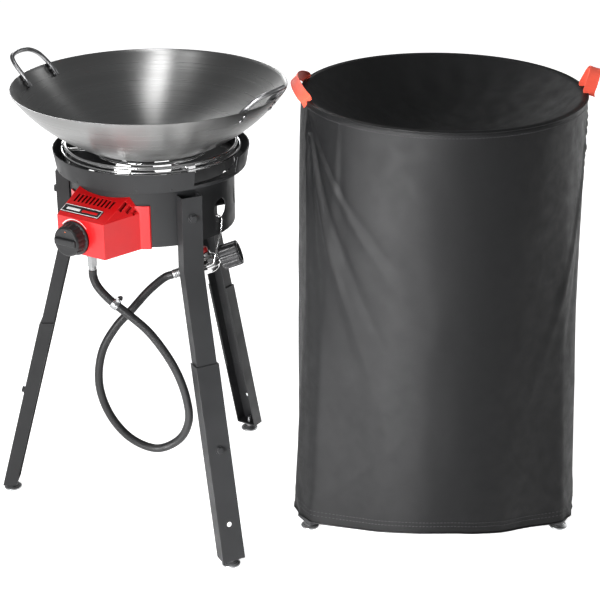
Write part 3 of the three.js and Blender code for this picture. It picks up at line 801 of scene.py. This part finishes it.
def add_knob(plastic, orange):
    """A fluted knob with a grip bar and a coloured dot."""
    place = BOX_PLACE @ move(KNOB_FACE, KNOB_Y, KNOB_HEIGHT) @ ALONG_X
    flutes, flute_depth = 18, 0.0011
    outline = rounded_profile([
        (0.0052, 0.0002), (0.0283, 0.0002), (0.0285, 0.0028), (0.0262, 0.0042), (0.0250, 0.0200),
        (0.0225, 0.0235), (0.0150, 0.0226), (0.0010, 0.0226),
    ], 0.0012, 5)

    def flute(radius, height, angle):
        if not 0.0045 < height < 0.0205 or radius <= 0.02:
            return 0.0
        return -flute_depth * (0.5 + 0.5 * cos(flutes * angle)) ** 2

    piece = Piece().add(grid(fluted(outline, 144, flute)), place)
    piece.add(block((0.0115, 0.042, 0.0075), 0.0022, 4), place @ move(0, 0, 0.0232))
    piece.build("gas_knob", "control_knob", [plastic], ["control_knob"], "black_plastic")
    dot = disc([(AXIS, 0), (0.0022, 0), (0.0020, 0.0006), (AXIS, 0.0008)], 0.0002, 24)
    Piece().add(dot, place @ move(-0.018, 0, 0.0222)).build("knob_dot", "control_knob", [orange])


def add_dial_marks(white):
    """A printed arc over the knob that widens from low to high."""
    place = BOX_PLACE @ move(DIAL_FACE, KNOB_Y, KNOB_HEIGHT)
    radius, ink = 0.0307, 0.0002
    rows = []
    for share in np.arange(31) / 30:
        angle = radians(38 + 104 * share)
        half = 0.0003 + 0.0008 * share
        edges = ((0, -half), (0, half), (ink, half), (ink, -half))
        rows.append([
            (x, (radius + side) * cos(angle), (radius + side) * sin(angle))
            for x, side in edges
        ])
    Piece().add(grid(rows), place).build("dial_marks", "stand", [white])


# ---- feet ----

def add_feet(prefix, sides, bodies, zinc, rubber):
    """A pressed pad with a rolled edge on a threaded stud with its lock nut."""
    pad_top, thread_pitch = 0.0084, 0.0012
    pad = [
        (AXIS, 0.0002), (0.0150, 0.0002), (0.0160, 0.0014), (0.0157, 0.0036), (0.0130, 0.0052),
        (0.0082, pad_top), (AXIS, pad_top),
    ]
    stud = [(AXIS, pad_top), (0.0037, pad_top), (0.0037, 0.0258), (AXIS, 0.0258)]
    for side in sides:
        node = f"{prefix}foot_{side}"
        spot = middle(node)
        place = move(spot.x, spot.y, 0)
        piece = Piece().add(disc(pad, 0.0009), place)
        piece.add(ring(0.0112, 0.0006, 0.0062, 64, 8), place, 1)
        piece.add(hex_head(0.0072, 0.0048), place @ move(0, 0, pad_top))
        for step in range(10):
            piece.add(ring(0.0036, 0.0005, 0.0146 + thread_pitch * step, 32, 6), place)
        piece.add(disc(stud), place)
        piece.build(f"{prefix}levelling_foot_{side}", bodies(side), [zinc, rubber], [node], "zinc")


# ---- fabric cover ----

COVERED_LEGS = (-30, 90, 210)  # the angles at which the legs under the cover stand
COVER_WALL = 0.0016
COVER_AROUND = 300  # points in each ring of the cover
DISH_RINGS, SIDE_RINGS = 44, 140
SEAM_DROP, FIRST_DROP = 0.0018, 0.004  # shares of the side's fall, at the rim's seam and under it
TENSION_FOLDS = [  # where each starts round the rim, its lean, its depth and how far it runs
    (197, 0.10, 0.0042, 0.34), (197, 0.40, 0.0044, 0.30), (197, 0.80, 0.0022, 0.24),
    (-6, -0.12, 0.0016, 0.25), (-6, -0.42, 0.0042, 0.36), (-20, 0.30, 0.0014, 0.30),
    (222, -0.06, 0.0012, 0.40),
]
LEG_FOLDS = ((-0.95, 0.008), (-0.55, 0.007), (0.60, 0.008), (1.05, 0.009))  # lean and width
STRAP_WIDTH, STRAP_THICKNESS, STRAP_SIDES = 0.020, 0.0022, 24


class Cover:
    """The cover's surface: a dish that sinks into the wok, a rim, and a side that falls to the hem.

    Angles are in radians round the covered axis, and a drop is a share of the side's fall."""

    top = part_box("cover")[1].z
    rim = 0.234
    dip = 0.090  # how far the dish's middle lies under the rim
    fall = top - 0.055
    hem_drop = 0.026  # how much lower the hem hangs over a leg
    hem_spread = 0.031  # how far a leg holds the hem out

    @staticmethod
    def over_leg(angle):
        """1 over a leg and 0 halfway between two of them."""
        return (1 + cos(3 * (angle - radians(COVERED_LEGS[1])))) / 2

    def fold(self, angle, drop, root, lean, width, depth, run):
        """A tension fold that starts at the rim at the root angle, leans and fades down its run."""
        reach = drop * self.fall
        across = self.rim * remainder(angle - root, TURN)
        line = lean * reach
        spread = width * (0.4 + 2.2 * reach)
        swell = min(1.0, reach / 0.03) * exp(-((reach / run) ** 2))
        return depth * swell * exp(-(((across - line) / spread) ** 2))

    def wrinkles(self, angle, drop):
        """How far the side stands out or in at a place, in metres."""
        point = Vector((cos(angle), sin(angle), 0)) * self.rim
        height = drop * self.fall
        soft = noise.noise(Vector((point.x * 7, point.y * 7, height * 2.6))) * 0.0030
        fine = noise.noise(Vector((point.x * 26 + 9, point.y * 26, height * 9))) * 0.0009
        folded = Vector((point.x * 6 + 3, point.y * 6, height * 5))
        crease = noise.ridged_multi_fractal(folded, 0.8, 2.1, 3, 1.0, 2.0)
        total = (soft + fine) * min(1, drop * 12) + 0.0007 * (crease - 1) * min(1, drop * 6)
        for root, lean, depth, run in TENSION_FOLDS:
            start = radians(root)
            total += self.fold(angle, drop, start, lean, 0.0085, depth, run)
            total -= self.fold(angle, drop, start, lean + 0.13, 0.0095, 0.7 * depth, run)
        low = max(0.0, (drop - 0.72) / 0.28)
        for leg in COVERED_LEGS:
            swing = remainder(angle - radians(leg), TURN) * self.rim
            for lean, width in LEG_FOLDS:
                offset = swing - lean * (1 - drop) * self.fall
                total += 0.0026 * low * (1 - low * 0.6) * exp(-((offset / width) ** 2))
        hem_wave = sin(5 * angle + 0.6) * 0.5 + sin(11 * angle + 2.0) * 0.3
        total += 0.0032 * hem_wave * max(0.0, drop - 0.55) ** 1.5 / 0.3
        return total

    def side(self, angle, drop, inset=0.0):
        """A point of the side: drop is 0 at the rim and 1 at the hem."""
        radius = self.rim + 0.005 * sqrt(drop) - inset
        legs = self.over_leg(angle)
        lobe = min(1.0, 1.25 * legs**8)
        radius += self.hem_spread * lobe * drop**1.5 + self.wrinkles(angle, drop)
        height = self.top - drop * self.fall - self.hem_drop * legs * drop**3
        return radius * cos(angle), radius * sin(angle), height

    def dish(self, angle, share, inset=0.0):
        """A point of the sunken top: share is 0 at its middle and 1 where it meets the rim."""
        radius = (self.rim - 0.008) * share
        x, y = radius * cos(angle), radius * sin(angle)
        along, across = 0.80 * x - 0.60 * y, 0.60 * x + 0.80 * y
        soft = noise.noise(Vector((across * 11 + 4, along * 3.2, 1.7)))
        folded = Vector((across * 9, along * 2.4, 5.2))
        crease = noise.ridged_multi_fractal(folded, 0.9, 2.1, 3, 1.0, 2.0) - 1
        lift = (0.0052 * soft + 0.0042 * crease) * (1 - share**4)
        radial = 0.0016 * sin(23 * angle + 3 * soft) * share**3 * (1 - share**6)
        return x, y, self.top - self.dip * (1 - share**2) + lift + radial - inset


def cover_rows(cover, inset):
    """Rings of points from the middle of the dish, over the rim and down to the hem."""
    angles = [TURN * k / COVER_AROUND for k in range(COVER_AROUND)]
    rows = []
    for step in range(1, DISH_RINGS + 1):
        share = (step / DISH_RINGS) ** 0.9
        rows.append([cover.dish(a, share, inset) for a in angles])
    edge, height = cover.rim - 0.004 - inset * 0.5, cover.top + 0.0002 - inset
    rows.append([(edge * cos(a), edge * sin(a), height) for a in angles])
    for step in range(SIDE_RINGS + 1):
        drop = (step / SIDE_RINGS) * (1 - FIRST_DROP) + FIRST_DROP if step else SEAM_DROP
        rows.append([cover.side(a, drop, inset) for a in angles])
    return rows


def cover_weave(rows):
    """Weave coordinates: the distance round the cover and the distance down it."""
    rows = np.array(rows)
    made = np.zeros(rows.shape)
    made[..., 0] = np.arange(rows.shape[1]) * TURN / rows.shape[1] * Cover.rim
    made[..., 1] = distances(rows[:, 0])[:, None]
    return made.reshape(-1, 3)


def seam(cover, drop, radius, stand_off):
    """A thin round cord that follows the cover's side at one level."""
    up = Vector((0, 0, 1))
    section = [TURN * k / 8 for k in range(8)]
    rows = []
    for k in range(COVER_AROUND):
        x, y, z = cover.side(TURN * k / COVER_AROUND, drop)
        out = Vector((x, y, 0)).normalized()
        centre = Vector((x, y, z)) + stand_off * out
        rows.append([centre + radius * (cos(t) * out + sin(t) * up) for t in section])
    return grid(rows, closed_rows=True)


def stitch_places(cover, drop):
    """Where each short thread of a row of stitches round the cover lies."""
    count = int(TURN * cover.rim / 0.0058)
    places = []
    for k in range(count):
        angle = TURN * k / count
        x, y, z = cover.side(angle, drop)
        after = Vector(cover.side(angle + 0.01, drop)) - Vector((x, y, z))
        out = Vector((x, y, 0)).normalized()
        side = after.normalized()
        basis = Matrix((side, out, side.cross(out))).transposed().to_4x4()
        places.append(Matrix.Translation(Vector((x, y, z)) + out * 0.0002) @ basis)
    return places


def add_cover(cloth, thread):
    cover = Cover()
    place = COVERED_PLACE
    outer, inner = (cover_rows(cover, inset) for inset in (0.0, COVER_WALL))
    shell = grid([*outer, *inner[::-1]])
    weave = np.concatenate([cover_weave(outer), cover_weave(inner[::-1])])
    sheet = Piece().add(shell, place).build(
        "fitted_cover", "cover", [cloth], ["cover"], "cover_cloth", sharp=75, weave=weave)
    trim = Piece().add(seam(cover, SEAM_DROP, 0.0016, 0.0004), place)
    trim.add(seam(cover, 1.0, 0.0017, 0.0), place)
    edging = trim.build("cover_piping", "cover", [cloth], slot="cover_cloth")
    sewn = Piece()
    stitch = block((0.0036, 0.0007, 0.0008), 0.00025, 1)
    for drop in (0.014, 0.972, 0.982):
        for spot in stitch_places(cover, drop):
            sewn.add(stitch, place @ spot)
    threads = sewn.build("cover_stitching", "cover", [thread], slot="cover_cloth")


def boxy(share, half):
    """A cosine or sine pushed towards the corners of a flat section."""
    return copysign(abs(share) ** 0.35, share) * half


def webbing_loop(half_width, reach):
    """Rings of a flat strap that leaves the rim, folds over at its far end and comes back."""
    bend = smooth_path([
        (-0.004, -half_width, -0.0030), (0, -half_width, 0), (0.35 * reach, -0.86 * half_width, 0),
        (0.85 * reach, -0.4 * half_width, 0), (reach, 0, 0), (0.85 * reach, 0.4 * half_width, 0),
        (0.35 * reach, 0.86 * half_width, 0), (0, half_width, 0), (-0.004, half_width, -0.0030),
    ], 10)
    up = np.array((0, 0, 1.0))
    half, thick_half = STRAP_WIDTH / 2, STRAP_THICKNESS / 2
    rows, weave = [], []
    for number, (point, tangent, run) in enumerate(zip(bend, directions(bend), distances(bend))):
        out = np.array((tangent[1], -tangent[0], 0))
        out /= np.linalg.norm(out)
        share = number / (len(bend) - 1)
        narrow = 1 - 0.10 * exp(-(((share - 0.5) / 0.12) ** 2))
        row = []
        for step in range(STRAP_SIDES):
            t = TURN * step / STRAP_SIDES
            across = boxy(cos(t), half) * narrow
            cupped = 0.0008 * (across / half) ** 2
            lift = boxy(sin(t), thick_half) + cupped + thick_half
            row.append(point + up * across + out * lift)
            weave.append((run, across, 0))
        rows.append(row)
    return rows, weave


def add_loops(webbing, thread):
    """The two loops: each one's half width, reach, rise, distance out and direction."""
    seat = COVERED_PLACE @ move(0, 0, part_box("cover")[1].z + 0.001)
    stitch = block((0.0009, 0.0030, 0.0006), 0.0002, 1)
    faces = STRAP_SIDES // 4, 3 * STRAP_SIDES // 4  # the middle points of a ring's two flat sides
    for side, half_width, reach, rise, x, turned in (
        ("left", 0.066, 0.025, 40, 0.225, 180),
        ("right", 0.020, 0.036, 72, 0.235, 0),
    ):
        rows, weave = webbing_loop(half_width, reach)
        place = seat @ turn(turned) @ move(x, 0, 0) @ turn(-rise, "Y")
        loop = Piece().add(grid(rows), place).build(
            f"webbing_loop_{side}", "cover", [webbing], [f"cover_loop_{side}"], "webbing",
            sharp=60, weave=weave)
        sewn = Piece()
        for row in rows[1:-1]:
            for edge in (-0.0082, 0.0082):
                centre = sum((Vector(row[k]) for k in faces), Vector((0, 0, 0))) / 2
                sewn.add(stitch, place @ Matrix.Translation(centre + Vector((0, 0, edge))))
        sewn.build(f"loop_stitching_{side}", "cover", [thread])


# ---- carried-over CAD nodes ----

ROUNDING = [  # what rounds the edges of the CAD nodes and keeps their faces flat
    ("weld", "WELD", {"merge_threshold": 0.00002}),
    ("round_edges", "BEVEL", {
        "width": 0.0006, "segments": 2, "limit_method": "ANGLE", "angle_limit": radians(20)}),
    ("flat_faces", "WEIGHTED_NORMAL", {"weight": 80, "mode": "FACE_AREA"}),
]


def finish_nodes(finishes, slots):
    """Gives every CAD node that stays its material and rounds its edges."""
    for name, node in frame["nodes"].items():
        if node.hide_render:
            continue
        node.data.materials.clear()
        node.data.materials.append(finishes[slots[name]])
        node.data.shade_smooth()
        for label, kind, settings in ROUNDING:
            modifier = node.modifiers.new(label, kind)
            for key, value in settings.items():
                setattr(modifier, key, value)


# ---- studio ----

FLOOR_GLOW = 0.84
LIGHTS = [  # name, place, target, size, power, and the angle that its grid lets through
    ("overhead", (-0.42, -0.7, 2.9), (-0.30, 0, 0.7), (0.45, 2.4), 20, 180),
    ("key_left", (-1.75, -2.35, 1.25), (0.1, 0, 0.45), (0.55, 1.7), 62, 180),
    ("cover_key", (-0.484, -1.065, 0.50), (0.262, 0, 0.42), (0.25, 0.9), 5.2, 40),
    ("rim_right", (2.2, 1.3, 1.0), (0.2, 0, 0.4), (0.4, 1.6), 16, 180),
    ("back_left", (-0.9, 2.6, 1.9), (-0.2, 0, 0.7), (0.6, 1.5), 22, 180),
]


def area_light(name, place, target, size, power, spread):
    data = bpy.data.lights.new(name, "AREA")
    data.shape = "RECTANGLE"
    data.size, data.size_y = size
    data.energy = power
    data.spread = radians(spread)
    light = bpy.data.objects.new(name, data)
    light.location = place
    light.rotation_euler = (Vector(target) - Vector(place)).to_track_quat("-Z", "Y").to_euler()
    bpy.context.scene.collection.objects.link(light)


def white_floor():
    """A white floor that glows faintly, as a lit table does."""
    surface = Surface("pale_floor", (0.9, 0.9, 0.9), 0.8, Specular_IOR_Level=0.1)
    surface.set("Emission Color", (1, 1, 1, 1))
    surface.set("Emission Strength", FLOOR_GLOW)
    surface.grain(0.02, 2, 0.0002, 0.1)
    return surface.material


def add_studio():
    bpy.ops.mesh.primitive_plane_add(size=40, location=(0, 0, -0.0005))
    floor = bpy.context.object
    floor.name = "studio_floor"
    floor.data.materials.append(white_floor())
    world = bpy.data.worlds.new("studio")
    world.use_nodes = True
    background = world.node_tree.nodes["Background"]
    background.inputs["Color"].default_value = (0.97, 0.985, 1.0, 1)
    background.inputs["Strength"].default_value = 0.18
    bpy.context.scene.world = world
    bpy.context.scene.view_settings.view_transform = "Standard"
    for light in LIGHTS:
        area_light(*light)


# ---- everything ----

add_camera()
finishes = {
    "black_paint": black_paint(),
    "cast_iron": cast_iron(),
    "wok_steel": spun_steel("spun_steel", OPEN_AXIS),
    "chrome": plated("chrome_plate", (0.82, 0.82, 0.82), 0.14),
    "zinc": plated("zinc_plate", (0.40, 0.405, 0.41), 0.36),
    "red_paint": red_enamel(),
    "black_plastic": moulded("black_plastic", (0.013, 0.013, 0.014), 0.42),
    "ceramic": moulded("glazed_ceramic", (0.62, 0.60, 0.54), 0.25),
    "brass": plated("machined_brass", (0.62, 0.44, 0.18), 0.28),
    "hose_rubber": hose_rubber(),
    "cover_cloth": cover_cloth(),
    "webbing": orange_webbing(),
}
white_ink = moulded("white_ink", (0.80, 0.80, 0.80), 0.5)
orange_ink = moulded("orange_ink", (0.85, 0.16, 0.03), 0.5)
dark_thread = moulded("dark_thread", (0.03, 0.03, 0.032), 0.6, 0.0004)
rust_thread = moulded("rust_thread", (0.45, 0.05, 0.02), 0.6, 0.0004)

chrome, zinc, plastic = (finishes[slot] for slot in ("chrome", "zinc", "black_plastic"))

add_hose(finishes)
add_wok("wok", "spun_wok", "wok", finishes["wok_steel"])
add_wok("covered_wok", "covered_spun_wok", "stand", spun_steel("covered_spun_steel", COVERED_AXIS))
add_handles(plated("dark_rod_steel", (0.26, 0.26, 0.265), 0.36))
add_pot_ring("pot_ring", "wire_pot_ring", OPEN_PLACE, 0, chrome)
add_pot_ring(
    "covered_pot_ring", "covered_wire_pot_ring", COVERED_PLACE @ turn(32), COVERED_DROP, chrome)
add_hook(chrome)
add_collar_rivets(finishes["black_paint"])
add_badge(plastic, white_ink, finishes["red_paint"])
add_knob(plastic, orange_ink)
add_dial_marks(white_ink)
add_feet("", ("left", "front", "back"), "foot_{}".format, zinc, plastic)
add_feet("covered_", ("left", "right", "back"), lambda side: "stand", zinc, plastic)
add_cover(finishes["cover_cloth"], dark_thread)
add_loops(finishes["webbing"], rust_thread)
subparts = frame["record"]["subparts"]
finish_nodes(finishes, {part["node"]: part["material_slot"] for part in subparts})
add_studio()
